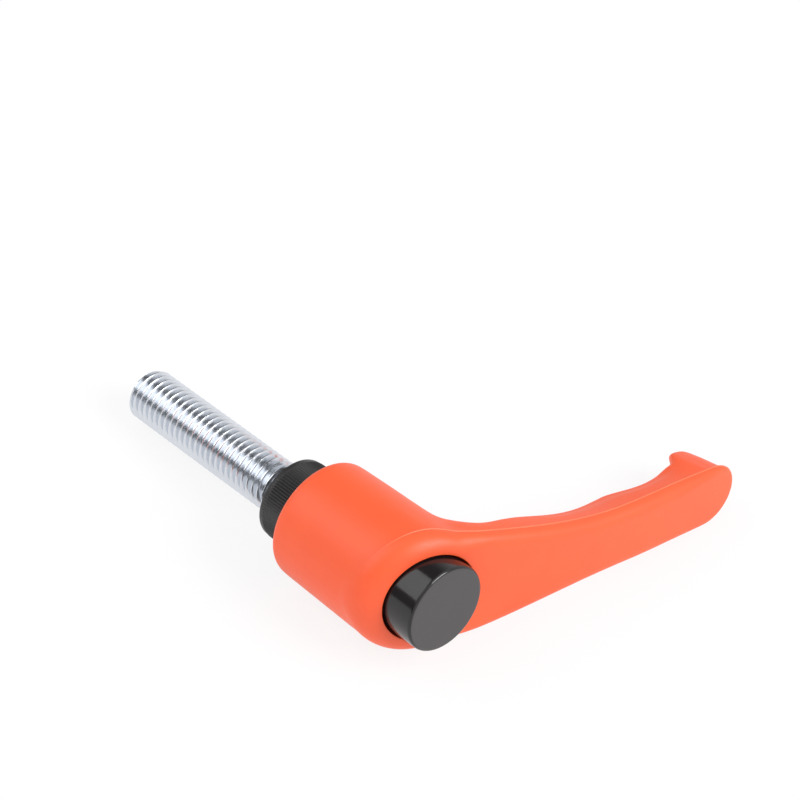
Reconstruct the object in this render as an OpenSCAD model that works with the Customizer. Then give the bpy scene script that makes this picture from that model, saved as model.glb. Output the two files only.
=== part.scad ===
// Clamping lever with a push button, a toothed coupling and a metric stud.
// Sizes are in millimetres. Every piece is drawn on the stud's own axis, with z = 0 on the
// clamping face and the arm along x, and is then laid down as the lever comes to rest, with
// the start of the full thread at the origin.

/* [Stud] */
// Nominal thread diameter of the stud
stud_d = 12; // [10:1:14]
// Length of the stud below the clamping face
stud_length = 49.5; // [30:0.5:80]
// Chamfer at the free end of the stud
stud_chamfer = 1.2; // [0.6:0.1:2]
// Diameter of the plain neck between the thread and the clamping face
neck_d = 10.4; // [8:0.1:11]
// Length of the plain neck
neck_length = 2.6; // [1.5:0.1:5]
// Diameter of the cone that meets the clamping face
shoulder_d = 12.8; // [11:0.1:14]
// Diameter of the flange that shows in the clamping face
flange_d = 14.8; // [14:0.1:16]
// Thickness of that flange
flange_t = 2; // [1.2:0.1:3]
// Diameter of the shank that guides the lever
shank_d = 10; // [8:0.5:11]

/* [Collar] */
// Diameter of the fluted collar
collar_d = 19; // [18:0.1:20]
// Height of the collar that shows below the lever
collar_gap = 8.6; // [6:0.1:14]
// Height of the plain edge at the clamping face
collar_edge = 1.2; // [0.6:0.1:2]
// Number of fine flutes round the collar
flute_count = 90; // [60:6:120]
// Depth of a flute
flute_depth = 0.3; // [0.15:0.05:0.5]
// Number of teeth in the coupling
tooth_count = 36; // [24:12:48]
// Depth of a coupling tooth
tooth_depth = 0.9; // [0.6:0.05:1.2]
// Height of the coupling teeth
tooth_height = 4; // [3:0.25:5]
// Radial clearance between the two sets of teeth
tooth_gap = 0.12; // [0.08:0.01:0.2]
// Radial clearance of the collar's teeth in the plain bore
tooth_pass = 0.2; // [0.1:0.05:0.4]
// Lift beyond the teeth when they are released
lift_spare = 0.6; // [0.3:0.1:1]

/* [Lever head] */
// Head diameter at its lower rim
head_low_d = 27.4; // [26:0.1:29]
// Head diameter where it meets the top shell
head_top_d = 29.2; // [28:0.1:31]
// Rounding of the lower rim
head_rim_round = 1.8; // [1:0.1:3]
// Radial clearance between the collar and the bore at the lower rim
mouth_gap = 0.65; // [0.4:0.05:1]
// Depth of the plain bore below the teeth
mouth_depth = 7.9; // [5:0.1:9]
// Thickness of the web that carries the spring
web_t = 3.5; // [2.5:0.1:5]
// Radial clearance between the button and its bore
button_gap = 0.45; // [0.2:0.05:0.8]
// Rounding of the head's upper edge
head_round = 4.5; // [3:0.1:6]

/* [Lever arm] */
// Reach of the arm from the stud's axis to the tip
arm_reach = 88.8; // [75:0.1:120]
// Width of the arm along the grip
grip_w = 14.8; // [12:0.1:18]
// Length over which the arm narrows from the head to the grip
neck_run = 52; // [40:1:60]
// Radius of the long curve of the arm's upper side
crest_radius = 230; // [150:5:400]
// Distance of the highest point of that curve from the stud's axis
crest_x = 56; // [40:1:70]
// Height of the highest point above the clamping face
crest_z = 50.4; // [49:0.1:54]
// Rounding of the arm's upper edges
grip_round = 1.5; // [0.8:0.1:2.5]
// Inward lean of the side walls, as a slope
wall_lean = 0.29; // [0.1:0.01:0.35]
// Thickness of the side walls at their lower edge
wall_t = 2.4; // [1.8:0.1:3]
// Thickness of the arm's upper wall
roof_t = 2.6; // [2:0.1:3.5]
// Distance of the first finger ridge from the stud's axis
ridge1_x = 24; // [20:0.5:28]
// Distance of the second finger ridge from the stud's axis
ridge2_x = 53; // [45:0.5:58]
// Height of the lower edge at the first finger ridge
ridge1_z = 40.1; // [38:0.1:42]
// Height of the lower edge at the second finger ridge
ridge2_z = 41.2; // [39:0.1:43]
// Depth of the finger hollow between the two ridges
hollow_depth = 1.2; // [0.4:0.1:2]
// Depth of the finger hollow between the second ridge and the hook
outer_hollow = 0.5; // [0.2:0.1:1.5]
// Length of the hook at the tip
hook_length = 12.8; // [9:0.1:16]
// Depth of the hook below the second ridge
hook_depth = 6; // [3:0.1:7]
// Width of the step at the hook
hook_step = 3; // [2:0.1:5]
// Lowest point of the gusset where the arm joins the head
gusset_z = 30; // [26:0.5:34]
// Thickness of the wall at the arm's tip
tip_wall = 4; // [3:0.1:6]
// Length of the rounded end of the arm's plan outline
tip_length = 9.6; // [6:0.1:16]
// Rounding of the tip's upper edge
tip_round = 1.5; // [1:0.1:4]
// Rounding of the hook's lower front edge
hook_round = 2.5; // [1:0.1:7]
// Step by which the lower half of the tip stands back from the upper half
tip_ledge = 1.6; // [0.5:0.1:3]
// Lean of the tip's front wall, as a slope
front_lean = 0.1; // [0.05:0.01:0.5]

/* [Button] */
// Diameter of the push button
button_d = 20; // [19:0.1:21]
// Height of the button's face above the clamping face
button_z = 48.3; // [47:0.1:52]
// Height of the button
button_h = 13.8; // [11:0.1:16]
// Rounding of the button's edge
button_round = 0.7; // [0.3:0.1:1.5]
// Wall of the button's skirt
button_wall = 1.5; // [1:0.1:1.8]
// Thickness of the button's face
button_face_t = 2.2; // [1.5:0.1:3]
// Thickness of the four ribs inside the button
button_rib_t = 1.2; // [0.8:0.1:2]

/* [Spring and screw] */
// Wire of the return spring
wire_d = 1.1; // [0.8:0.1:1.3]
// Radial clearance between the spring and the shank
coil_gap = 1.15; // [0.6:0.05:1.5]
// Height of the spring as fitted
spring_h = 12; // [11:0.25:14]
// Working turns between the two closed end turns
active_turns = 2.5; // [2:0.5:3]
// Thread diameter of the retaining screw
screw_d = 6; // [5:0.5:6]
// Length of the retaining screw below its flange
screw_length = 14; // [10:0.5:16]
// Radial clearance between the screw's flange and the button's skirt
flange_gap = 0.5; // [0.2:0.05:0.8]
// Thickness of the screw's flange
screw_flange_t = 1.4; // [1:0.1:2]
// Diameter of the screw's head
screw_head_d = 9.8; // [8.5:0.1:10.5]
// Height of the screw's head above its flange
screw_head_h = 3.6; // [3:0.1:4.5]
// Width across the flats of the screw's socket
socket_af = 5; // [4:0.5:5]
// Depth of the screw's socket
socket_depth = 2.4; // [1.5:0.1:2.8]

/* [Hidden] */

// Running clearance on a radius, and the seat clearance of the spring
fit_gap = 0.05;
seat_gap = 0.02;
// Small overlap that lets a cut pass through a face
past = 1;
round_fn = 96;

// Levels on the stud's axis
head_z = collar_gap;
tooth_z = head_z + mouth_depth;
collar_top = tooth_z + tooth_height;
web_top = collar_top + web_t;
seat_z = web_top + spring_h;
screw_head_z = seat_z + screw_flange_t;
lift_travel = tooth_height + lift_spare;

// Radii
stud_r = stud_d / 2;
shank_r = shank_d / 2;
mouth_r = collar_d / 2 + mouth_gap;
tooth_tip_r = mouth_r - tooth_pass;
tooth_root_r = tooth_tip_r - tooth_depth;
head_r = head_top_d / 2 + fit_gap;
grip_r = grip_w / 2;
button_bore_d = button_d + 2 * button_gap;
screw_flange_d = button_d - 2 * (button_wall + flange_gap);
coil_d = shank_d + 2 * coil_gap + wire_d;

// Keyed body of the stud inside the collar
key_r = 0.84 * flange_d / 2;
key_groove_r = 0.72 * flange_d / 2;
key_groove_z = 0.3 * collar_top;
key_groove_h = 0.12 * collar_top;
key_top = 0.83 * collar_top;
thread_start = neck_length + (stud_d - neck_d) / 2 - 0.1;

// Upper profile of the arm
tip_x = arm_reach - tip_length;
// Fullness of the rounded end, as the power of its outline
tip_power = 2.1;
hook_x = arm_reach - hook_length;
hook_z = ridge2_z - hook_depth;
notch_z = ridge2_z - 0.18 * hook_depth;
hollow_x = ridge1_x - 0.48 * head_r;
hollow_z = ridge1_z + 0.75 * hollow_depth;
gusset_x = 0.55 * head_r;
gusset_swell = 0.9;
shell_depth = 0.55 * head_round;

function ease(a, b, x) = (1 - cos(180 * min(1, max(0, (x - a) / (b - a))))) / 2;
function mix(a, b, t) = a + (b - a) * t;

// Height of the arm's upper side along its middle
function crest(x) = crest_z - crest_radius + sqrt(pow(crest_radius, 2) - pow(x - crest_x, 2));

// Half the width of the lever's plan outline
function half_width(x) =
    x < 0 ? sqrt(max(0, head_r * head_r - x * x)) :
    x < tip_x ? mix(head_r, grip_r, ease(0, neck_run, x)) :
    tip_outline(x, grip_r, tip_length);

// Half width of the rounded end for a given half width and length
function tip_outline(x, w, l) =
    w * pow(max(0.0001, 1 - pow(min(1, (x - tip_x) / l), tip_power)), 1 / tip_power);

// Rounding of the upper edge along the lever
function edge_round(x) =
    x < tip_x ? mix(head_round, grip_round, ease(0.28 * head_r, 0.7 * neck_run, x)) :
    mix(grip_round, tip_round, ease(tip_x, arm_reach, x));

// Distance of a point from the plan outline
function edge_gap(x, y) =
    x < 0 ? head_r - norm([x, y]) :
    x < tip_x ? half_width(x) - abs(y) :
    let (u = pow((x - tip_x) / tip_length, tip_power), v = pow(abs(y) / grip_r, tip_power))
    grip_r * (1 - pow(u + v, 1 / tip_power));

// Height of the upper surface, with its rounded edge
function top_z(x, y) =
    let (r = edge_round(x), d = min(r, max(0, edge_gap(x, y))))
    crest(x) - r + sqrt(max(0, r * r - pow(r - d, 2)));

function ridge_z(x) = crest(x) - edge_round(x);

// A finger hollow between two ridges of the lower edge
function hollow(xa, za, xb, zb, depth, x) =
    let (u = (x - xa) / (xb - xa))
    mix(za, zb, u) + depth * sin(180 * u);

// Height of the lower edge of the side walls along the arm
function edge_z(x) =
    x < gusset_x ? mix(ridge_z(x) - shell_depth, gusset_z, ease(0, gusset_x, max(0, x))) :
    x < hollow_x ? gusset_z + (hollow_z - gusset_z)
        * sqrt(1 - pow(1 - (x - gusset_x) / (hollow_x - gusset_x), 2)) :
    x < ridge1_x ? mix(hollow_z, ridge1_z, ease(hollow_x, ridge1_x, x)) :
    x < ridge2_x ? hollow(ridge1_x, ridge1_z, ridge2_x, ridge2_z, hollow_depth, x) :
    x < hook_x ? hollow(ridge2_x, ridge2_z, hook_x, notch_z, outer_hollow, x) :
    mix(notch_z, hook_z, ease(hook_x, hook_x + hook_step, x));

// The hook's front wall leans back and is rounded below
low_reach = arm_reach - tip_ledge;
front_x = low_reach - front_lean * (ridge_z(low_reach) - hook_z - hook_round);
ledge_z = 0.5 * tip_round;
function front_z(x) =
    let (u = (x - front_x) / (low_reach - front_x))
    x < front_x ? hook_z + hook_round - sqrt(pow(hook_round, 2) - pow(x - front_x + hook_round, 2)) :
    x < low_reach ? mix(hook_z + hook_round, ridge_z(x) - 1.5 * ledge_z, u) :
    ridge_z(x) - mix(1.5, 0.5, (x - low_reach) / tip_ledge) * ledge_z;
function lower_z(x) = x > front_x - hook_round ? front_z(x) : edge_z(x);

// Half width of the side walls at a depth below the upper edge
function wall_y(x, depth) =
    x < tip_x ? half_width(x) - wall_lean * depth * min(1, half_width(x) / grip_r) :
    let (back = tip_ledge * min(1, depth / ledge_z),
         w = grip_r - wall_lean * depth - 0.2 * back,
         l = tip_length - 0.9 * front_lean * depth - 0.9 * back)
    tip_outline(x, w, l);

// How far the channel under the arm is open: 0 is closed, 1 is its full depth
function channel(x) =
    ease(0.72 * head_r, head_r, x)
    * (1 - ease(low_reach - 1.4 * tip_wall, low_reach - tip_wall, x));

// Half the thickness of the wall's lower edge, thicker where it runs into the head
function lip(x, yb) =
    min(wall_t / 2 * (1 + gusset_swell * (1 - ease(gusset_x, ridge1_x, x))), 0.3 * yb);

// One cross-section of the lever's shell: the upper side, the wall, its lower edge and the
// channel, drawn for one side and mirrored
function half_section(x) =
    let (w = half_width(x),
         r = min(edge_round(x), 0.98 * w),
         zr = ridge_z(x),
         zl = lower_z(x),
         yb = wall_y(x, zr - zl),
         h = lip(x, yb),
         deep = zr - zl - h,
         open = channel(x),
         yi = yb - 2 * h,
         fix = yb - wall_y(x, deep))
    concat(
        [[x, 0, top_z(x, 0)]],
        [for (k = [4:-1:0]) let (y = w - r * (1 - cos(22.5 * k))) [x, y, top_z(x, y)]],
        [for (k = [1:3]) [x, wall_y(x, deep * k / 3) + (k == 3 ? fix : 0), zr - deep * k / 3]],
        [for (k = [1:2]) [x, yb - h + h * cos(45 * k), zl + h - h * sin(45 * k)]],
        [for (k = [3:4]) [x, yb - h + h * cos(45 * k), zl + h * mix(0.02 * k, 1 - sin(45 * k), open)]],
        [[x, 0.92 * yi, mix(zl + 0.1 * h, crest(x) - 1.1 * roof_t, open)]],
        [[x, 0, mix(zl + 0.12 * h, crest(x) - roof_t, open)]]);

function whole_section(x) =
    let (s = half_section(x), n = len(s))
    concat(s, [for (k = [n - 2:-1:1]) [s[k][0], -s[k][1], s[k][2]]]);

// Stations along the arm, closer where it curves
stations = concat(
    [for (a = [5:9:86]) -head_r * cos(a)],
    [0, 2, 4, 6, 8],
    [for (k = [1:6]) gusset_x + (hollow_x - gusset_x) * k / 6],
    [for (k = [1:3]) mix(hollow_x, ridge1_x, k / 3)],
    [for (k = [1:10]) mix(ridge1_x, ridge2_x, k / 10)],
    [for (k = [1:8]) mix(ridge2_x, hook_x, k / 8)],
    [for (k = [1:5]) hook_x + hook_step * k / 5],
    [for (k = [1:8]) mix(max(tip_x, hook_x + hook_step), low_reach, sin(90 * k / 8.2))],
    [for (k = [0.1, 0.35, 0.6, 0.8, 0.92, 0.985]) mix(low_reach, arm_reach, k)]);

// A closed skin over a row of cross-sections
module loft(sections) {
    n = len(sections[0]);
    m = len(sections);
    points = [for (s = sections) each s];
    sides = [for (i = [0:m - 2], j = [0:n - 1])
        let (a = i * n + j, b = i * n + (j + 1) % n, c = b + n, d = a + n)
        each [[a, b, c], [a, c, d]]];
    polyhedron(points, concat(sides,
        [[for (j = [n - 1:-1:0]) j]], [[for (j = [0:n - 1]) (m - 1) * n + j]]));
}

// A ring of pointed teeth, as a flat outline
module teeth(count, root_r, tip_r) {
    polygon([for (i = [0:2 * count - 1])
        let (r = i % 2 == 0 ? tip_r : root_r, a = 180 * i / count) [r * cos(a), r * sin(a)]]);
}

// The pose in which the lever lies: on the stud's end, the head's rim and the side of the tip
stud_end = stud_length - stud_chamfer;
rim_run = stud_end + head_z + head_rim_round;
rim_rise = head_low_d / 2 - head_rim_round - stud_r;
lie_pitch = acos(-head_rim_round / norm([rim_rise, rim_run])) - atan2(rim_run, rim_rise);
lie_level = stud_r + stud_end * tan(lie_pitch) + ridge_z(tip_x) * tan(lie_pitch);
lie_roll = asin((lie_level - grip_r) / tip_x);

module laid_down() {
    rotate([-lie_pitch, 0, 0]) rotate([0, lie_roll, 0]) rotate([90, 0, 0]) {
        translate([0, 0, thread_start]) children();
    }
}

// Head as turned: a drafted drum with a rounded lower rim, cut to the curve of the upper side
module head_drum() {
    low_r = head_low_d / 2;
    slope = (head_r - fit_gap - low_r) / (crest(0) - head_z);
    lip = head_rim_round;
    intersection() {
        rotate_extrude($fn = round_fn) {
            polygon(concat(
                [[0, head_z]],
                [for (a = [0:15:90]) [low_r - lip + lip * sin(a), head_z + lip - lip * cos(a)]],
                [[low_r + slope * (crest(head_r) - head_z), crest(head_r)], [0, crest(head_r)]]));
        }
        translate([crest_x, 0, crest_z - crest_radius]) rotate([90, 0, 0]) {
            cylinder(r = crest_radius - 0.93 * head_round, h = 4 * head_r, center = true, $fn = round_fn);
        }
    }
}

module lever_body() {
    color("orangered") laid_down() difference() {
        union() {
            head_drum();
            loft([for (x = stations) whole_section(x)]);
        }
        translate([0, 0, head_z - past]) cylinder(r = mouth_r, h = mouth_depth + past, $fn = round_fn);
        translate([0, 0, tooth_z - past]) linear_extrude(tooth_height + past) {
            teeth(tooth_count, tooth_root_r + tooth_gap, tooth_tip_r + tooth_gap);
        }
        translate([0, 0, collar_top - past]) {
            cylinder(r = shank_r + fit_gap, h = web_t + 2 * past, $fn = round_fn);
        }
        translate([0, 0, web_top]) cylinder(d = button_bore_d, h = crest_z, $fn = round_fn);
    }
}

// Space taken in the collar by the stud that it is moulded on
module stud_body(gap) {
    rotate_extrude($fn = round_fn) polygon([
        [0, 0], [flange_d / 2 + gap, 0], [flange_d / 2 + gap, flange_t], [key_r + gap, flange_t],
        [key_r + gap, key_groove_z], [key_groove_r + gap, key_groove_z],
        [key_groove_r + gap, key_groove_z + key_groove_h], [key_r + gap, key_groove_z + key_groove_h],
        [key_r + gap, key_top], [shank_r + gap, key_top], [shank_r + gap, seat_z], [0, seat_z]]);
}

module toothed_collar() {
    color("dimgray") laid_down() difference() {
        union() {
            cylinder(d = collar_d - flute_depth, h = collar_edge, $fn = round_fn);
            cylinder(d = collar_d - 2.5 * flute_depth, h = tooth_z, $fn = round_fn);
            translate([0, 0, collar_edge]) linear_extrude(tooth_z - collar_edge) {
                teeth(flute_count, collar_d / 2 - flute_depth, collar_d / 2);
            }
            translate([0, 0, tooth_z]) linear_extrude(tooth_height) {
                teeth(tooth_count, tooth_root_r, tooth_tip_r);
            }
        }
        stud_body(seat_gap);
    }
}

module threaded_stud() {
    color("lightsteelblue") laid_down() difference() {
        union() {
            stud_body(0);
            rotate_extrude($fn = round_fn) polygon([
                [0, -stud_length], [stud_r - stud_chamfer, -stud_length], [stud_r, -stud_end],
                [stud_r, -thread_start], [neck_d / 2, -neck_length], [neck_d / 2, -1],
                [shoulder_d / 2, 0], [0, 0]]);
        }
        translate([0, 0, seat_z - screw_length - past]) {
            cylinder(r = screw_d / 2 + seat_gap, h = screw_length + 2 * past, $fn = round_fn);
        }
    }
}

// Height of the spring's wire along its turns: closed end turns and an even working pitch
function coil_rise(turn) =
    let (closed = 1.06 * wire_d,
         span = spring_h - wire_d - 2 * seat_gap,
         pitch = (span - 2 * closed) / active_turns)
    turn < 1 ? closed * turn :
    turn < 1 + active_turns ? closed + pitch * (turn - 1) :
    span - closed * (2 + active_turns - turn);

module return_spring() {
    ring = 8;
    step = 15;
    turns = active_turns + 2;
    color("silver") laid_down() translate([0, 0, web_top + seat_gap + wire_d / 2]) {
        loft([for (a = [0:step:360 * turns])
            [for (k = [0:ring - 1])
                let (r = coil_d / 2 + wire_d / 2 * cos(360 * k / ring))
                [r * cos(a), r * sin(a), coil_rise(a / 360) + wire_d / 2 * sin(360 * k / ring)]]]);
    }
}

module retaining_screw() {
    color("gray") laid_down() translate([0, 0, seat_z]) difference() {
        union() {
            translate([0, 0, -screw_length]) cylinder(d = screw_d, h = screw_length, $fn = round_fn);
            cylinder(d = screw_flange_d, h = screw_flange_t, $fn = round_fn);
            cylinder(d = screw_head_d, h = screw_flange_t + screw_head_h, $fn = round_fn);
        }
        translate([0, 0, screw_flange_t + screw_head_h - socket_depth]) {
            cylinder(d = socket_af / cos(30), h = socket_depth + past, $fn = 6);
        }
    }
}

module push_button() {
    r = button_d / 2;
    socket_r = screw_head_d / 2 + seat_gap;
    roof = button_z - button_face_t;
    color("black") laid_down() {
        rotate_extrude($fn = round_fn) polygon(concat(
            [[r - button_wall, button_z - button_h], [r, button_z - button_h]],
            [for (a = [0:15:90])
                [r - button_round * (1 - cos(a)), button_z - button_round * (1 - sin(a))]],
            [[0, button_z], [0, roof], [socket_r, roof], [socket_r, screw_head_z],
             [socket_r + button_wall, screw_head_z], [socket_r + button_wall, roof],
             [r - button_wall, roof]]));
        for (a = [0:90:270]) rotate([0, 0, a + 45]) {
            translate([socket_r + button_wall / 2, -button_rib_t / 2, screw_head_z + 2]) {
                cube([r - socket_r - button_wall, button_rib_t, roof - screw_head_z - 1]);
            }
        }
    }
}

lever_body();
toothed_collar();
threaded_stud();
return_spring();
retaining_screw();
push_button();
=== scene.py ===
import math

import bmesh
import bpy
from mathutils import Matrix, Vector
from mathutils.bvhtree import BVHTree


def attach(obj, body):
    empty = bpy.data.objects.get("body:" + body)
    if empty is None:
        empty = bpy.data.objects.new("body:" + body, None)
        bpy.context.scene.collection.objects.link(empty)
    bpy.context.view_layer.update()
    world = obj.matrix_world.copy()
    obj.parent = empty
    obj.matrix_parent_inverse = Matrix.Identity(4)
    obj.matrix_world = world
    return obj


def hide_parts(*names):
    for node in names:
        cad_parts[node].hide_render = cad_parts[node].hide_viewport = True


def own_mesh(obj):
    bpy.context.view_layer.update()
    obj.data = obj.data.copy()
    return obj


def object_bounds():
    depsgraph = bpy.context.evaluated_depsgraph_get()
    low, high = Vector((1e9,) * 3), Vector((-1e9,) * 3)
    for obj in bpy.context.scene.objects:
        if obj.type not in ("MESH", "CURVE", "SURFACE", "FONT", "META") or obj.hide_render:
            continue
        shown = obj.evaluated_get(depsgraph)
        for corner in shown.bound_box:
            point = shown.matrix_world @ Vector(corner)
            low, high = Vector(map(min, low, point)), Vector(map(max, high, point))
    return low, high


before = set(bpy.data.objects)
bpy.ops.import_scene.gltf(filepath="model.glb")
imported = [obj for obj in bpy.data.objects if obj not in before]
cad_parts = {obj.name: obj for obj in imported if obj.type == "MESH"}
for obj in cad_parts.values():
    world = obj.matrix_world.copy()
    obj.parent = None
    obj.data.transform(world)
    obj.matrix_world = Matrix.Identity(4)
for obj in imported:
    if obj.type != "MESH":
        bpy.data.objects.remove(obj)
cadBox = [list(corner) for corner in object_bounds()]
scene = bpy.context.scene
scene.view_settings.view_transform = "Standard"
print("frame loaded:", sorted(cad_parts))

# Each piece is made upright in millimetres, the stud's axis on z with the clamping face at 0
# and the arm along x, and is then laid down on the floor with layDown

stud = {
    "radius": 6, "length": 49.5, "chamfer": 1.2, "pitch": 1.75,
    "neckRadius": 5.2, "neckLength": 2.6, "shoulderRadius": 6.4, "shoulderHeight": 1.1,
    "flangeRadius": 7.4, "flangeHeight": 2, "shankRadius": 5, "seat": 36,
    "holeRadius": 3.02, "holeDepth": 15, "threadStart": 3.3,
    "keyRadius": 6.216, "keyTop": 17.015, "grooveRadius": 5.328, "grooveFrom": 6.15, "grooveTo": 8.61,
    "turnSteps": 96,
}

collar = {
    "radius": 9.5, "edgeHeight": 1.2, "flutes": 90, "fluteDepth": 0.3,
    "teeth": 36, "toothRoot": 9.05, "toothTip": 9.95, "toothFrom": 16.5, "top": 20.5,
    "gap": 0.02, "stepsPerFlute": 8,
}

lever = {
    "headLow": 13.7, "headTop": 14.65, "headFrom": 8.6, "rimRound": 1.8, "headRound": 4.5,
    "mouthRadius": 10.15, "webTop": 24, "boreRadius": 10.45, "rimSoft": 0.16,
    "toothGap": 0.12, "shankGap": 0.05,
    "reach": 87, "gripHalf": 7.4, "neckRun": 52, "gripRound": 2.5, "roundFrom": 64,
    "crestRadius": 230, "crestX": 56, "crestZ": 50.4,
    "wallLean": 0.3, "wallThick": 2.4, "roofThick": 2.6,
    "ridge1": (24, 40.4), "ridge2": (53, 40), "hollow1": 1.5, "hollow2": 1.8,
    "hookLength": 13.4, "hookDepth": 3.6, "hookStep": 4.2, "hookRound": 5,
    "gussetZ": 27.5, "gussetSwell": 0.9, "tipWall": 4, "tipLength": 9.2, "tipRound": 1,
    "tipLedge": 1.2, "tipPower": 2.1, "frontLean": 0.1,
    "bead": 0.22, "beadSunk": 0.4, "beadFade": 14, "voxel": 0.36,
}


def ease(a, b, x):
    return (1 - math.cos(math.pi * min(1, max(0, (x - a) / (b - a))))) / 2


def mix(a, b, t):
    return a + (b - a) * t


# Upper side of the lever along its middle
def crest(x):
    r = lever["crestRadius"]
    return lever["crestZ"] - r + math.sqrt(r * r - (x - lever["crestX"]) ** 2)


tipX = lever["reach"] - lever["tipLength"]
hookX = lever["reach"] - lever["hookLength"]
hookZ = lever["ridge2"][1] - lever["hookDepth"]
notchZ = lever["ridge2"][1] - 0.02 * lever["hookDepth"]
hollowX = lever["ridge1"][0] - 0.26 * lever["headTop"]
hollowZ = lever["ridge1"][1] - 0.06 * lever["hollow1"]
gussetX = 0.55 * lever["headTop"]
shellDepth = 0.55 * lever["headRound"]


def tipOutline(x, width, length):
    n = lever["tipPower"]
    return width * max(0.0001, 1 - min(1, (x - tipX) / length) ** n) ** (1 / n)


def taper(x):
    return mix(lever["headTop"], lever["gripHalf"], ease(-0.8 * lever["headTop"], lever["neckRun"], x))


# The larger of two sizes, with a smooth change from one to the other
def softMax(a, b):
    return (a + b + math.sqrt((a - b) ** 2 + 0.3)) / 2 - 0.3 / (abs(a - b) + 1.2)


def halfWidth(x):
    circle = math.sqrt(max(0, lever["headTop"] ** 2 - x * x))
    if x < 0:
        return circle
    if x < tipX:
        return softMax(circle, taper(x))
    return tipOutline(x, lever["gripHalf"], lever["tipLength"])


def edgeRound(x):
    along = ease(-0.14 * lever["headTop"], lever["headTop"], x)
    grip = mix(lever["headRound"], lever["gripRound"], along)
    return mix(grip, lever["tipRound"], ease(lever["roundFrom"], lever["reach"], x))


def edgeGap(x, y):
    if x < 0:
        return lever["headTop"] - math.hypot(x, y)
    if x < tipX:
        return halfWidth(x) - abs(y)
    n = lever["tipPower"]
    around = ((x - tipX) / lever["tipLength"]) ** n + (abs(y) / lever["gripHalf"]) ** n
    return lever["gripHalf"] * (1 - around ** (1 / n))


def topZ(x, y):
    r = edgeRound(x)
    d = min(r, max(0, edgeGap(x, y)))
    return crest(x) - r + math.sqrt(max(0, r * r - (r - d) ** 2))


def ridgeZ(x):
    return crest(x) - edgeRound(x)


def fingerHollow(a, b, depth, x):
    u = (x - a[0]) / (b[0] - a[0])
    return mix(a[1], b[1], u) + depth * max(0, math.sin(math.pi * u)) ** 1.5


# Lower edge of the side walls: gusset, two finger hollows and the hook
def edgeZ(x):
    ridge1, ridge2 = lever["ridge1"], lever["ridge2"]
    if x < gussetX:
        return mix(ridgeZ(x) - shellDepth, lever["gussetZ"], ease(0, gussetX, max(0, x)))
    if x < hollowX:
        u = 1 - (x - gussetX) / (hollowX - gussetX)
        return lever["gussetZ"] + (hollowZ - lever["gussetZ"]) * math.sqrt(1 - u * u)
    if x < ridge1[0]:
        return mix(hollowZ, ridge1[1], ease(hollowX, ridge1[0], x))
    if x < ridge2[0]:
        return fingerHollow(ridge1, ridge2, lever["hollow1"], x)
    if x < hookX:
        return fingerHollow(ridge2, (hookX, notchZ), lever["hollow2"], x)
    return mix(notchZ, hookZ, ease(hookX, hookX + lever["hookStep"], x))


lowReach = lever["reach"] - lever["tipLedge"]
hookRound = lever["hookRound"]
frontX = lowReach - lever["frontLean"] * (ridgeZ(lowReach) - hookZ - hookRound)
ledgeZ = 0.9 * lever["tipRound"]


def lowerZ(x):
    if x <= frontX - hookRound:
        return edgeZ(x)
    if x < frontX:
        return hookZ + hookRound - math.sqrt(hookRound ** 2 - (x - frontX + hookRound) ** 2)
    if x < lowReach:
        u = (x - frontX) / (lowReach - frontX)
        return mix(hookZ + hookRound, ridgeZ(x) - 1.5 * ledgeZ, u)
    return ridgeZ(x) - mix(1.5, 0.5, (x - lowReach) / lever["tipLedge"]) * ledgeZ


def lean(x):
    head = lever["headTop"]
    base = ease(head, lever["neckRun"], x) + 0.45 - 0.45 * ease(0.55 * head, 0.75 * head, x)
    return lever["wallLean"] * (base - 0.55 * ease(hookX - 6, hookX + 3, x))


def wallY(x, depth):
    if x < tipX:
        return halfWidth(x) - lean(x) * depth
    back = lever["tipLedge"] * min(1, depth / ledgeZ)
    width = lever["gripHalf"] - lean(x) * depth - 0.2 * back
    return tipOutline(x, width, lever["tipLength"] - 0.9 * lever["frontLean"] * depth - 0.9 * back)


# How far the channel under the arm is open, from 0 to 1
def channel(x):
    opens = ease(0.72 * lever["headTop"], lever["headTop"], x)
    return opens * (1 - ease(lowReach - 1.4 * lever["tipWall"], lowReach - lever["tipWall"], x))


def lipHalf(x, yb):
    swell = 1 + lever["gussetSwell"] * (1 - ease(gussetX, lever["ridge1"][0], x))
    return min(lever["wallThick"] / 2 * swell, 0.3 * yb)


# One side of a cross-section of the arm, from the middle of the top to the middle of the roof
def armSide(x):
    w = halfWidth(x)
    r = min(edgeRound(x), 0.98 * w)
    zr, zl = ridgeZ(x), lowerZ(x)
    yb = wallY(x, zr - zl)
    h = lipHalf(x, yb)
    deep = zr - zl - h
    isOpen = channel(x)
    inner = yb - 2 * h
    fix = yb - wallY(x, deep)
    side = []
    for k in range(6):
        y = (w - r) * k / 6
        side.append((x, y, topZ(x, y)))
    for k in range(10, -1, -1):
        y = w - r * (1 - math.cos(math.radians(9 * k)))
        side.append((x, y, topZ(x, y)))
    for k in range(1, 11):
        d = deep * k / 10
        side.append((x, wallY(x, d) + fix * ease(6, 10, k), zr - d))
    for k in range(1, 13):
        a = math.radians(15 * k)
        low = 1 - math.sin(a)
        if k > 6:
            low = mix(0.0067 * k, low, isOpen)
        side.append((x, yb - h + h * math.cos(a), zl + h * low))
    corner = (0.92 * inner, mix(zl + 0.1 * h, crest(x) - 1.1 * lever["roofThick"], isOpen))
    start = (side[-1][1], side[-1][2])
    for k in range(1, 9):
        side.append((x, mix(start[0], corner[0], k / 8), mix(start[1], corner[1], k / 8)))
    roof = mix(zl + 0.12 * h, crest(x) - lever["roofThick"], isOpen)
    for k in range(1, 5):
        side.append((x, corner[0] * (1 - k / 4), mix(corner[1], roof, k / 4)))
    return side


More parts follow.
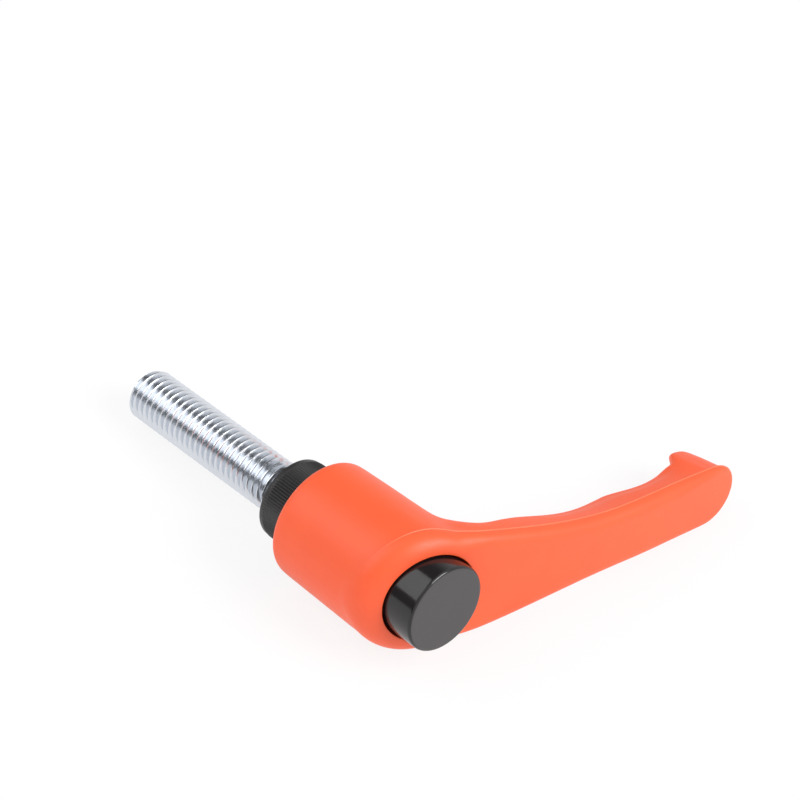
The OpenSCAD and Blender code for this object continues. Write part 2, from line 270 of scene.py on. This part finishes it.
def armStations():
    head = lever["headTop"]
    rows = [-head * math.cos(math.radians(a)) for a in range(4, 90, 4)]
    rows += [8.0 * k / 12 for k in range(12)]
    rows += [mix(8.0, hollowX, k / 16) for k in range(16)]
    rows += [mix(hollowX, hookX, k / 60) for k in range(60)]
    rows += [hookX + lever["hookStep"] * k / 12 for k in range(12)]
    middle = hookX + lever["hookStep"]
    rows += [mix(middle, lowReach, math.sin(math.radians(90 * k / 24.4))) for k in range(24)]
    rows += [mix(lowReach, lever["reach"], math.sin(math.radians(6 + 76 * k / 11))) for k in range(12)]
    return rows


# The pose in which the lever lies: on the stud's end, the head's rim and the side of the grip
lying = {"gripAt": 79.2, "gripRound": 1.5}


def layDown():
    end = stud["length"] - stud["chamfer"]
    rim = lever["rimRound"]
    run = end + lever["headFrom"] + rim
    rise = lever["headLow"] - rim - stud["radius"]
    pitch = math.acos(-rim / math.hypot(rise, run)) - math.atan2(run, rise)
    level = stud["radius"] + (end + crest(lying["gripAt"]) - lying["gripRound"]) * math.tan(pitch)
    roll = math.asin((level - lever["gripHalf"]) / lying["gripAt"])
    turn = Matrix.Rotation(-pitch, 4, "X") @ Matrix.Rotation(roll, 4, "Y")
    turn = turn @ Matrix.Rotation(math.pi / 2, 4, "X")
    return Matrix.Scale(0.001, 4) @ turn @ Matrix.Translation((0, 0, stud["threadStart"]))


laid = layDown()


def turns(steps):
    return [2 * math.pi * j / steps for j in range(steps)]


def ring(r, z, steps):
    return [(r * math.cos(a), r * math.sin(a), z) for a in turns(steps)]


def newPiece(name, points, faces):
    mesh = bpy.data.meshes.new(name)
    mesh.from_pydata(points, [], faces)
    piece = bpy.data.objects.new(name, mesh)
    scene.collection.objects.link(piece)
    return piece


# Bands of quads between rows of points that each close on themselves
def bands(rows, count, closed=False):
    faces = []
    last = rows if closed else rows - 1
    for i in range(last):
        a, b = i * count, (i + 1) % rows * count
        for j in range(count):
            k = (j + 1) % count
            faces.append((a + j, a + k, b + k, b + j))
    return faces


# A turned shape from (radius, height) pairs; a radius of 0 at an end closes it with a fan
def turned(name, profile, steps):
    points = []
    for r, z in profile:
        points += ring(r, z, steps)
    piece = newPiece(name, points, bands(len(profile), steps))
    tidyMesh(piece)
    return piece


# Joins doubled points, drops collapsed faces and turns all faces outwards
def tidyMesh(piece, near=0.0005):
    work = bmesh.new()
    work.from_mesh(piece.data)
    bmesh.ops.remove_doubles(work, verts=work.verts, dist=near)
    bmesh.ops.dissolve_degenerate(work, edges=work.edges, dist=near * 0.2)
    loose = [v for v in work.verts if not v.link_faces]
    bmesh.ops.delete(work, geom=loose, context="VERTS")
    bmesh.ops.recalc_face_normals(work, faces=work.faces)
    work.to_mesh(piece.data)
    work.free()


def applyAll(piece):
    graph = bpy.context.evaluated_depsgraph_get()
    done = bpy.data.meshes.new_from_object(piece.evaluated_get(graph))
    piece.modifiers.clear()
    old = piece.data
    piece.data = done
    bpy.data.meshes.remove(old)


def cutWith(piece, tool, how="DIFFERENCE"):
    step = piece.modifiers.new("cut", "BOOLEAN")
    step.operation = how
    step.solver = "EXACT"
    step.object = tool
    applyAll(piece)
    bpy.data.objects.remove(tool)


def joinTo(piece, other):
    work = bmesh.new()
    work.from_mesh(piece.data)
    work.from_mesh(other.data)
    work.to_mesh(piece.data)
    work.free()
    bpy.data.objects.remove(other)


def smoothShade(piece, degrees):
    for face in piece.data.polygons:
        face.use_smooth = True
    piece.data.set_sharp_from_angle(angle=math.radians(degrees))


# Lays a finished piece down, gives it its finish and puts it on its body
def place(piece, node, body, finish, sharpDeg):
    piece.data.transform(laid)
    smoothShade(piece, sharpDeg)
    finishes = finish if isinstance(finish, list) else [finish]
    piece.data.materials.clear()
    for each in finishes:
        piece.data.materials.append(each)
    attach(piece, body)
    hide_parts(node)


# Materials

def principled(name, color, roughness, metallic=0.0):
    material = bpy.data.materials.new(name)
    material.use_nodes = True
    nodes, links = material.node_tree.nodes, material.node_tree.links
    shader = nodes["Principled BSDF"]
    shader.inputs["Base Color"].default_value = (*color, 1)
    shader.inputs["Roughness"].default_value = roughness
    shader.inputs["Metallic"].default_value = metallic
    return material, nodes, links, shader


def noiseAt(nodes, links, scale, detail=3.0):
    place3d = nodes.new("ShaderNodeTexCoord")
    noise = nodes.new("ShaderNodeTexNoise")
    noise.inputs["Scale"].default_value = scale
    noise.inputs["Detail"].default_value = detail
    links.new(place3d.outputs["Object"], noise.inputs["Vector"])
    return noise


def ramp(nodes, links, source, low, high):
    step = nodes.new("ShaderNodeValToRGB")
    step.color_ramp.elements[0].position = 0.3
    step.color_ramp.elements[1].position = 0.7
    step.color_ramp.elements[0].color = low
    step.color_ramp.elements[1].color = high
    links.new(source, step.inputs["Fac"])
    return step.outputs["Color"]


def grey(v):
    return (v, v, v, 1)


def addBump(nodes, links, shader, source, strength, distance):
    bump = nodes.new("ShaderNodeBump")
    bump.inputs["Strength"].default_value = strength
    bump.inputs["Distance"].default_value = distance
    links.new(source, bump.inputs["Height"])
    links.new(bump.outputs["Normal"], shader.inputs["Normal"])


# Moulded plastic: faint clouding of the colour and a fine eroded grain
def mouldedPlastic(name, color, deeper, roughness, grain, spread=0.05):
    material, nodes, links, shader = principled(name, color, roughness)
    cloud = noiseAt(nodes, links, 90, 2.0)
    tone = ramp(nodes, links, cloud.outputs["Fac"], (*deeper, 1), (*color, 1))
    links.new(tone, shader.inputs["Base Color"])
    fine = noiseAt(nodes, links, 2600, 2.0)
    dull = ramp(nodes, links, fine.outputs["Fac"], grey(roughness - spread), grey(roughness + spread))
    links.new(dull, shader.inputs["Roughness"])
    addBump(nodes, links, shader, fine.outputs["Fac"], grain, 0.00004)
    return material


# Plated or drawn metal: the roughness and tone vary a little, with fine marks
def brightMetal(name, color, deeper, roughness, marks):
    material, nodes, links, shader = principled(name, color, roughness, 1.0)
    cloud = noiseAt(nodes, links, 260, 3.0)
    tone = ramp(nodes, links, cloud.outputs["Fac"], (*deeper, 1), (*color, 1))
    links.new(tone, shader.inputs["Base Color"])
    fine = noiseAt(nodes, links, 1500, 4.0)
    dull = ramp(nodes, links, fine.outputs["Fac"], grey(roughness - 0.05), grey(roughness + 0.08))
    links.new(dull, shader.inputs["Roughness"])
    addBump(nodes, links, shader, fine.outputs["Fac"], marks, 0.00003)
    return material


orange = mouldedPlastic("orangeNylon", (0.95, 0.115, 0.031), (0.93, 0.105, 0.028), 0.46, 0.18)
# Lighter orange for the parting line's bead: a painted highlight, standing in for the light its raised top
# catches
seamPaintedHighlight = mouldedPlastic("seamPaintedHighlight", (0.96, 0.185, 0.08), (0.95, 0.175, 0.075), 0.36, 0.05)
blackSatin = mouldedPlastic("blackCollar", (0.028, 0.026, 0.026), (0.02, 0.019, 0.019), 0.42, 0.1)
blackGloss = mouldedPlastic("blackButtonSide", (0.012, 0.010, 0.011), (0.009, 0.008, 0.009), 0.14, 0.03)
# The button's face is given a lighter grey than its side: painted light for the soft light the face
# reflects; its duller roughness is real
buttonFacePaintedLight = mouldedPlastic("blackButtonFacePaintedLight", (0.05, 0.045, 0.047), (0.048, 0.043, 0.045), 0.24, 0.002, 0.01)
zinc = brightMetal("brightZinc", (0.72, 0.75, 0.80), (0.68, 0.71, 0.76), 0.19, 0.03)
wireSteel = brightMetal("springWire", (0.62, 0.62, 0.64), (0.52, 0.52, 0.55), 0.28, 0.2)


# Lever

def buildArm():
    points = []
    rows = armStations()
    for x in rows:
        side = armSide(x)
        points += side + [(p[0], -p[1], p[2]) for p in side[-2:0:-1]]
    count = len(points) // len(rows)
    faces = bands(len(rows), count)
    faces.append(tuple(range(count)))
    faces.append(tuple(range(len(points) - count, len(points))))
    arm = newPiece("lever", points, faces)
    tidyMesh(arm, 0.0001)
    return arm


def drumRadius(z):
    slope = (lever["headTop"] - 0.05 - lever["headLow"]) / (crest(0) - lever["headFrom"])
    return lever["headLow"] + slope * (z - lever["headFrom"])


# The head's drum up to just under the rounded upper side
def buildDrum():
    steps = 144
    base, rim, low = lever["headFrom"], lever["rimRound"], lever["headLow"]
    under = lever["crestRadius"] - 0.93 * lever["headRound"]
    points, rows = [], 0
    for k in range(9):
        a = math.radians(90 * k / 8)
        r, z = low - rim + rim * math.sin(a), base + rim - rim * math.cos(a)
        points += ring(r, z, steps)
        rows += 1
    for k in range(1, 25):
        for t in turns(steps):
            x = lever["headTop"] * math.cos(t)
            top = lever["crestZ"] - lever["crestRadius"] + math.sqrt(under ** 2 - (x - lever["crestX"]) ** 2)
            z = mix(base + rim, top, k / 24)
            points.append((drumRadius(z) * math.cos(t), drumRadius(z) * math.sin(t), z))
        rows += 1
    faces = bands(rows, steps)
    faces.append(tuple(range(steps)))
    centre = len(points)
    points.append((0, 0, crest(0) - lever["headRound"]))
    last = (rows - 1) * steps
    faces += [(last + j, last + (j + 1) % steps, centre) for j in range(steps)]
    drum = newPiece("drum", points, faces)
    tidyMesh(drum, 0.0001)
    return drum


def toothRadius(count, root, tip, a):
    u = (a * count / (2 * math.pi)) % 1
    return mix(tip, root, 1 - abs(2 * u - 1))


# The toothed pocket for the collar, as a tool
def toothTool():
    steps = collar["teeth"] * 8
    rows = (collar["toothFrom"] - 0.6, collar["top"])
    gap = lever["toothGap"]
    points = []
    for z in rows:
        for a in turns(steps):
            r = toothRadius(collar["teeth"], collar["toothRoot"] + gap, collar["toothTip"] + gap, a)
            points.append((r * math.cos(a), r * math.sin(a), z))
    faces = bands(2, steps)
    faces += [tuple(range(steps)), tuple(range(steps, 2 * steps))]
    tool = newPiece("tool", points, faces)
    tidyMesh(tool, 0.0001)
    return tool


def rod(radius, low, high, steps=144):
    points = ring(radius, low, steps) + ring(radius, high, steps)
    faces = bands(2, steps)
    faces += [tuple(range(steps)), tuple(range(steps, 2 * steps))]
    tool = newPiece("tool", points, faces)
    tidyMesh(tool, 0.0001)
    return tool


# The button's bore with a rounded rim that follows the upper side, as a tool
def boreTool(steps=192):
    bore, soft = lever["boreRadius"], lever["rimSoft"]
    wide = bore + soft
    points = ring(bore, lever["webTop"], steps)
    for k in range(7):
        t = math.radians(15 * k)
        r = bore + soft * (1 - math.cos(t))
        for a in turns(steps):
            x, y = math.cos(a), math.sin(a)
            level = topZ(wide * x, wide * y)
            points.append((r * x, r * y, level - soft * (1 - math.sin(t))))
    points += ring(wide, lever["crestZ"] + 5, steps)
    faces = bands(9, steps)
    faces += [tuple(range(steps)), tuple(range(8 * steps, 9 * steps))]
    tool = newPiece("tool", points, faces)
    tidyMesh(tool, 0.0001)
    return tool


# Smoothing rounds at the seams of the lever, and the distances over which each dies away
soften = {
    "rounds": {"corner": 240, "cap": 50, "hook": 30}, "evenRounds": 6, "factor": 0.5,
    "cornerReach": (1.5, 8), "capReach": (1.5, 4.5), "hookReach": (1.2, 4.0),
}


# How much each point of the lever is softened: the corner between drum and arm, the joint
# between drum and cap, and the hook under the tip
def softShares(co, armTree):
    x, y, z = co
    round3d = math.hypot(x, y)
    ridge = ridgeZ(min(x, lever["reach"]))
    shares = {"corner": 0.0, "cap": 0.0, "hook": 0.0}
    if x > 1 and z < ridge - 1.5 and round3d > 12:
        away = max(abs(round3d - drumRadius(z)), armTree.find_nearest(co)[3])
        shares["corner"] = 1 - ease(*soften["cornerReach"], away)
    if x < 9 and round3d > 12.5:
        shares["cap"] = (1 - ease(*soften["capReach"], abs(z - ridge + 1))) * (1 - ease(5, 9, x))
    if x > hookX - 2:
        shares["hook"] = ease(hookX - 2, hookX + 1.5, x) * ease(*soften["hookReach"], ridge - z)
    return shares


def softenSeams(piece, armTree):
    groups = {name: piece.vertex_groups.new(name=name) for name in soften["rounds"]}
    for v in piece.data.vertices:
        for name, share in softShares(v.co, armTree).items():
            if share > 0.01:
                groups[name].add([v.index], share, "REPLACE")
    for name, count in soften["rounds"].items():
        soft = piece.modifiers.new(name, "SMOOTH")
        soft.vertex_group = name
        soft.factor = soften["factor"]
        soft.iterations = count
    even = piece.modifiers.new("even", "SMOOTH")
    even.factor = soften["factor"]
    even.iterations = soften["evenRounds"]
    applyAll(piece)
    piece.vertex_groups.clear()


# The mould's parting line: a fine raised bead from the head along the arm and round its tip
def beadPath():
    head, far = lever["headTop"], lever["reach"]
    start = [math.radians(a) for a in range(124, 181, 4)]
    path = [(-head * math.sin(a), -head * math.cos(a)) for a in start]
    rows = [1 + (far - 1.3) * math.sin(math.radians(90 * k / 120)) for k in range(121)]
    path += [(x, halfWidth(x)) for x in rows]
    path += [(x, -halfWidth(x)) for x in reversed(rows[-14:])]
    return [Vector((x, y, ridgeZ(x))) for x, y in path]


def buildBead(piece):
    work = bmesh.new()
    work.from_mesh(piece.data)
    surface = BVHTree.FromBMesh(work)
    work.free()
    around, path = 10, beadPath()
    points = []
    for i, spot in enumerate(path):
        ahead = (path[min(i + 1, len(path) - 1)] - path[max(i - 1, 0)]).normalized()
        touch, out = surface.find_nearest(spot)[:2]
        out = Vector((out.x, out.y, 0)).normalized()
        side = ahead.cross(out).normalized()
        size = lever["bead"] * (0.1 + 0.9 * ease(0, lever["beadFade"], min(i, len(path) - 1 - i)))
        for a in turns(around):
            points.append(touch + size * ((math.cos(a) - lever["beadSunk"]) * out + math.sin(a) * side))
    faces = bands(len(path), around)
    faces += [tuple(range(around)), tuple(range(len(points) - around, len(points)))]
    bead = newPiece("bead", points, faces)
    tidyMesh(bead, 0.0001)
    return bead


def buildLever():
    piece = buildArm()
    work = bmesh.new()
    work.from_mesh(piece.data)
    armTree = BVHTree.FromBMesh(work)
    work.free()
    cutWith(piece, buildDrum(), "UNION")
    cutWith(piece, rod(lever["mouthRadius"], lever["headFrom"] - 3, collar["toothFrom"]))
    cutWith(piece, rod(lever["boreRadius"] - 0.8, lever["webTop"] + 0.8, lever["crestZ"] + 5))
    cells = piece.modifiers.new("cells", "REMESH")
    cells.mode = "VOXEL"
    cells.voxel_size = lever["voxel"]
    applyAll(piece)
    softenSeams(piece, armTree)
    cutWith(piece, boreTool())
    cutWith(piece, toothTool())
    cutWith(piece, rod(stud["shankRadius"] + lever["shankGap"], collar["top"] - 1, lever["webTop"] + 1))
    return piece


leverPiece = buildLever()
leverPiece.name = "lever"
plainFaces = len(leverPiece.data.polygons)
joinTo(leverPiece, buildBead(leverPiece))
place(leverPiece, "lever_body", "lever", [orange, seamPaintedHighlight], 50)
# The bead's faces take the lighter orange, the painted highlight
for index in range(plainFaces, len(leverPiece.data.polygons)):
    leverPiece.data.polygons[index].material_index = 1
print("lever made,", len(leverPiece.data.polygons), "faces")


# Stud: a rolled metric thread, a plain neck and the flange that is moulded into the collar

def threadDepth(phase):
    depth = 0.6134 * stud["pitch"]
    flank = (phase - 0.0625) / 0.3125
    if phase > 0.5:
        flank = (0.9375 - phase) / 0.3125
    return depth * min(1, max(0, flank)) ** 1.08


def studOutline(z):
    neck, end = -stud["neckLength"], -stud["length"]
    cone = stud["radius"] - stud["chamfer"] + (z - end)
    start = stud["neckRadius"] + (neck - z) * 1.14
    return min(stud["radius"], cone, start)


def buildStud():
    steps, pitch = stud["turnSteps"], stud["pitch"]
    low, high = -stud["length"], -stud["neckLength"]
    marks = (0, 0.05, 0.0625, 0.1, 0.18, 0.26, 0.34, 0.375, 0.44, 0.5, 0.56, 0.625, 0.66, 0.74,
             0.82, 0.9, 0.9375, 0.95)
    turnCount = int((high - low) / pitch) + 3
    points = []
    for k in range(turnCount):
        for mark in marks:
            for j in range(steps):
                a = 2 * math.pi * j / steps
                z = low + pitch * (k - 1 + mark + j / steps)
                z = min(high, max(low, z))
                phase = ((z - low) / pitch - j / steps) % 1
                fade = mix(0.7, 1, ease(3.0, 6.0, -z))
                r = min(studOutline(z), stud["radius"] - fade * threadDepth(phase))
                points.append((r * math.cos(a), r * math.sin(a), z))
    rows = turnCount * len(marks)
    neck, rise = stud["neckRadius"], stud["shoulderHeight"]
    profile = [(neck, high), (neck, -rise)]
    for k in range(1, 7):
        profile.append((mix(neck, stud["shoulderRadius"], (k / 6) ** 1.8), -rise + rise * k / 6))
    key, groove = stud["keyRadius"], stud["grooveRadius"]
    grooveFrom, grooveTo, keyTop = stud["grooveFrom"], stud["grooveTo"], stud["keyTop"]
    edge, height = stud["flangeRadius"], stud["flangeHeight"]
    profile += [(edge - 0.15, 0), (edge, 0.15), (edge, height), (key, height), (key, grooveFrom),
                (groove, grooveFrom), (groove, grooveTo), (key, grooveTo), (key, keyTop),
                (stud["shankRadius"], keyTop),
                (stud["shankRadius"], stud["seat"] - 0.4), (stud["shankRadius"] - 0.4, stud["seat"]),
                (stud["holeRadius"] + 0.3, stud["seat"]), (stud["holeRadius"], stud["seat"] - 0.3),
                (stud["holeRadius"], stud["seat"] - stud["holeDepth"]),
                (0, stud["seat"] - stud["holeDepth"] - 1)]
    for r, z in profile[1:]:
        points += ring(r, z, steps)
    faces = bands(rows + len(profile) - 1, steps)
    faces.append(tuple(range(steps)))
    piece = newPiece("stud", points, faces)
    tidyMesh(piece, 0.0008)
    return piece


studPiece = buildStud()
place(studPiece, "threaded_stud", "core", zinc, 28)
print("stud made,", len(studPiece.data.polygons), "faces")


# Collar: fine straight flutes over a plain edge, coupling teeth above and the stud's seat inside

def buildCollar():
    steps = collar["flutes"] * collar["stepsPerFlute"]
    gap, edge = collar["gap"], collar["edgeHeight"]
    outer, plain = collar["radius"], collar["radius"] - collar["fluteDepth"] / 2
    shank, flange = stud["shankRadius"] + gap, stud["flangeRadius"] + gap
    key, groove = stud["keyRadius"] + gap, stud["grooveRadius"] + gap
    grooveFrom, grooveTo, keyTop = stud["grooveFrom"], stud["grooveTo"], stud["keyTop"]

    def fluted(a, share):
        u = (1 + math.cos(a * collar["flutes"])) / 2
        wave = outer - collar["fluteDepth"] * (1 - u ** 0.8)
        return mix(plain, wave, share)

    def toothed(a, inset):
        return toothRadius(collar["teeth"], collar["toothRoot"], collar["toothTip"], a) - inset

    foot, top = collar["toothFrom"], collar["top"]
    rows = [(lambda a: flange, 0), (lambda a: plain - 0.35, 0), (lambda a: plain - 0.1, 0.1),
            (lambda a: plain, 0.35), (lambda a: plain, edge), (lambda a: fluted(a, 0.5), edge + 0.1),
            (lambda a: fluted(a, 1), edge + 0.3), (lambda a: fluted(a, 1), foot - 0.2),
            (lambda a: fluted(a, 0.6), foot), (lambda a: toothed(a, 0.2), foot),
            (lambda a: toothed(a, 0), foot + 0.3),
            (lambda a: toothed(a, 0), top - 0.3), (lambda a: toothed(a, 0.25), top)]
    bore = [(shank, top), (shank, keyTop), (key, keyTop), (key, grooveTo), (groove, grooveTo),
            (groove, grooveFrom), (key, grooveFrom), (key, stud["flangeHeight"]),
            (flange, stud["flangeHeight"])]
    points = []
    for radiusAt, z in rows:
        points += [(radiusAt(a) * math.cos(a), radiusAt(a) * math.sin(a), z) for a in turns(steps)]
    for r, z in bore:
        points += ring(r, z, steps)
    piece = newPiece("collar", points, bands(len(rows) + len(bore), steps, True))
    tidyMesh(piece, 0.0001)
    return piece


collarPiece = buildCollar()
place(collarPiece, "toothed_collar", "core", blackSatin, 35)
print("collar made,", len(collarPiece.data.polygons), "faces")


# Push button: a flat face, a small rounded edge and a hollow skirt with a socket and four ribs

button = {
    "radius": 10, "face": 48.3, "height": 13.8, "edgeRound": 0.7, "wall": 1.5, "faceThick": 2.2,
    "socketRadius": 4.92, "socketFrom": 37.4, "ribThick": 1.2, "steps": 128,
}


def buildButton():
    r, face, wall = button["radius"], button["face"], button["wall"]
    roof, soft = face - button["faceThick"], button["edgeRound"]
    foot, sock = face - button["height"], button["socketRadius"]
    profile = [(0, roof), (sock, roof), (sock, button["socketFrom"]), (sock + wall, button["socketFrom"]),
               (sock + wall, roof), (r - wall, roof), (r - wall, foot), (r, foot)]
    for k in range(0, 9):
        a = math.radians(90 * k / 8)
        profile.append((r - soft * (1 - math.cos(a)), face - soft * (1 - math.sin(a))))
    profile += [(r * share, face) for share in (0.9, 0.6, 0.3)]
    profile.append((0, face))
    piece = turned("button", profile, button["steps"])
    ribs = bmesh.new()
    ribs.from_mesh(piece.data)
    for k in range(4):
        middle = Vector(((sock + r - wall / 2) / 2 + wall / 4, 0, (button["socketFrom"] + 2 + roof) / 2))
        size = (r - wall - sock - wall / 2, button["ribThick"], roof - button["socketFrom"] - 2 + 0.6)
        spot = Matrix.Rotation(math.radians(45 + 90 * k), 4, "Z") @ Matrix.Translation(middle)
        bmesh.ops.create_cube(ribs, size=1, matrix=spot @ Matrix.Diagonal((*size, 1)))
    ribs.to_mesh(piece.data)
    ribs.free()
    for polygon in piece.data.polygons:
        polygon.material_index = 0
    return piece


buttonPiece = buildButton()
faceLevel = button["face"] - 0.05
faceIndex = [p.index for p in buttonPiece.data.polygons if p.center.z > faceLevel]
place(buttonPiece, "push_button", "core", [blackGloss, buttonFacePaintedLight], 30)
# The face takes the lighter grey, painted light on the button's face
for index in faceIndex:
    buttonPiece.data.polygons[index].material_index = 1
print("button made,", len(buttonPiece.data.polygons), "faces")


# Return spring between the lever's web and the screw's flange, closed at both ends

spring = {
    "wire": 1.1, "coilRadius": 6.7, "base": 24, "height": 12, "activeTurns": 2.5, "gap": 0.02,
    "around": 14, "stepsPerTurn": 48,
}


def coilRise(turn):
    closed = 1.06 * spring["wire"]
    span = spring["height"] - spring["wire"] - 2 * spring["gap"]
    if turn < 1:
        return closed * turn
    if turn < 1 + spring["activeTurns"]:
        return closed + (span - 2 * closed) / spring["activeTurns"] * (turn - 1)
    return span - closed * (2 + spring["activeTurns"] - turn)


def buildSpring():
    total = int((spring["activeTurns"] + 2) * spring["stepsPerTurn"])
    around, half = spring["around"], spring["wire"] / 2
    base = spring["base"] + spring["gap"] + half
    points = []
    for i in range(total + 1):
        turn = i / spring["stepsPerTurn"]
        a = 2 * math.pi * turn
        for b in turns(around):
            r = spring["coilRadius"] + half * math.cos(b)
            points.append((r * math.cos(a), r * math.sin(a), base + coilRise(turn) + half * math.sin(b)))
    faces = bands(total + 1, around)
    faces += [tuple(range(around)), tuple(range(len(points) - around, len(points)))]
    piece = newPiece("spring", points, faces)
    tidyMesh(piece, 0.0001)
    return piece


springPiece = buildSpring()
place(springPiece, "return_spring", "spring", wireSteel, 50)
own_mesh(springPiece)

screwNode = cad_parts["retaining_screw"]
screwNode.data.materials.clear()
screwNode.data.materials.append(zinc)

# Floor, light and camera

stage = {"floorSize": 6.0, "floorColor": (0.92, 0.92, 0.92), "floorWhite": 0.85, "roomLight": 0.54,
         "roomShine": (0.14, 0.9), "roomFront": (0.5, -0.866, 0), "roomEdge": (-0.35, -0.05)}

lamps = {
    "aim": (0.02, 0, 0),
    "key": {"spot": (-0.54, 0.505, 0.69), "size": (0.95, 0.8), "power": 4.7},
    "fill": {"spot": (0.3, -0.8, 0.75), "size": (0.6, 0.6), "power": 9},
}


# 1 for what the camera sees, also in a mirror or through glass, and 0 for light on the object
def seenDirectly(nodes, links):
    path = nodes.new("ShaderNodeLightPath")
    total = path.outputs["Is Camera Ray"]
    for name in ("Is Glossy Ray", "Is Transmission Ray"):
        step = nodes.new("ShaderNodeMath")
        step.operation = "MAXIMUM"
        links.new(total, step.inputs[0])
        links.new(path.outputs[name], step.inputs[1])
        total = step.outputs["Value"]
    return total


def buildFloor():
    material, nodes, links, shader = principled("paleFloor", stage["floorColor"], 0.75)
    cloud = noiseAt(nodes, links, 3, 2.0)
    tone = ramp(nodes, links, cloud.outputs["Fac"], (0.915, 0.915, 0.915, 1), (*stage["floorColor"], 1))
    links.new(tone, shader.inputs["Base Color"])
    white = nodes.new("ShaderNodeEmission")
    blend = nodes.new("ShaderNodeMixShader")
    share = nodes.new("ShaderNodeMath")
    share.operation = "MULTIPLY"
    share.inputs[1].default_value = stage["floorWhite"]
    links.new(seenDirectly(nodes, links), share.inputs[0])
    links.new(share.outputs["Value"], blend.inputs["Fac"])
    links.new(shader.outputs["BSDF"], blend.inputs[1])
    links.new(white.outputs["Emission"], blend.inputs[2])
    links.new(blend.outputs["Shader"], nodes["Material Output"].inputs["Surface"])
    half, low = stage["floorSize"] / 2, cadBox[0][2]
    corners = [(-half, -half, low), (half, -half, low), (half, half, low), (-half, half, low)]
    floor = newPiece("floor", corners, [(0, 1, 2, 3)])
    floor.data.materials.append(material)


# White to the camera; shiny pieces see a room that is bright in front and dim behind
def buildWorld():
    world = bpy.data.worlds.new("studio")
    scene.world = world
    world.use_nodes = True
    nodes, links = world.node_tree.nodes, world.node_tree.links
    shade = nodes["Background"]
    shade.inputs["Color"].default_value = (1, 1, 1, 1)
    path = nodes.new("ShaderNodeLightPath")
    toward = nodes.new("ShaderNodeTexCoord")
    front = nodes.new("ShaderNodeVectorMath")
    front.operation = "DOT_PRODUCT"
    front.inputs[1].default_value = stage["roomFront"]
    links.new(toward.outputs["Generated"], front.inputs[0])
    shine = nodes.new("ShaderNodeMapRange")
    shine.interpolation_type = "SMOOTHSTEP"
    shine.inputs["From Min"].default_value = stage["roomEdge"][0]
    shine.inputs["From Max"].default_value = stage["roomEdge"][1]
    shine.inputs["To Min"].default_value = stage["roomShine"][0]
    shine.inputs["To Max"].default_value = stage["roomShine"][1]
    links.new(front.outputs["Value"], shine.inputs["Value"])
    level = stage["roomLight"]
    rays = {"Is Glossy Ray": shine.outputs["Result"], "Is Transmission Ray": 1.0, "Is Camera Ray": 1.0}
    for ray, target in rays.items():
        step = nodes.new("ShaderNodeMix")
        links.new(path.outputs[ray], step.inputs["Factor"])
        for socket, value in ((step.inputs["A"], level), (step.inputs["B"], target)):
            if isinstance(value, float):
                socket.default_value = value
            else:
                links.new(value, socket)
        level = step.outputs["Result"]
    links.new(level, shade.inputs["Strength"])


def softLamp(name):
    lamp = bpy.data.lights.new(name, "AREA")
    lamp.shape = "RECTANGLE"
    lamp.size, lamp.size_y = lamps[name]["size"]
    lamp.energy = lamps[name]["power"]
    obj = bpy.data.objects.new(name, lamp)
    obj.location = lamps[name]["spot"]
    toward = Vector(lamps["aim"]) - Vector(lamps[name]["spot"])
    obj.rotation_euler = toward.to_track_quat("-Z", "Y").to_euler()
    scene.collection.objects.link(obj)


view = {"spot": (-0.358688, -0.367527, 0.497713), "aim": (0.026216, -0.005804, 0.016609), "rollDeg": 7.835,
        "lens": 150.979}


def buildCamera():
    camera = bpy.data.cameras.new("camera")
    camera.lens = view["lens"]
    camera.sensor_width = 36
    camera.clip_start = 0.01
    obj = bpy.data.objects.new("camera", camera)
    aim = (Vector(view["aim"]) - Vector(view["spot"])).to_track_quat("-Z", "Y").to_matrix().to_4x4()
    roll = Matrix.Rotation(math.radians(view["rollDeg"]), 4, "Z")
    obj.matrix_world = Matrix.Translation(view["spot"]) @ aim @ roll
    scene.collection.objects.link(obj)
    scene.camera = obj


buildFloor()
buildWorld()
softLamp("key")
softLamp("fill")
buildCamera()
print("stage set")
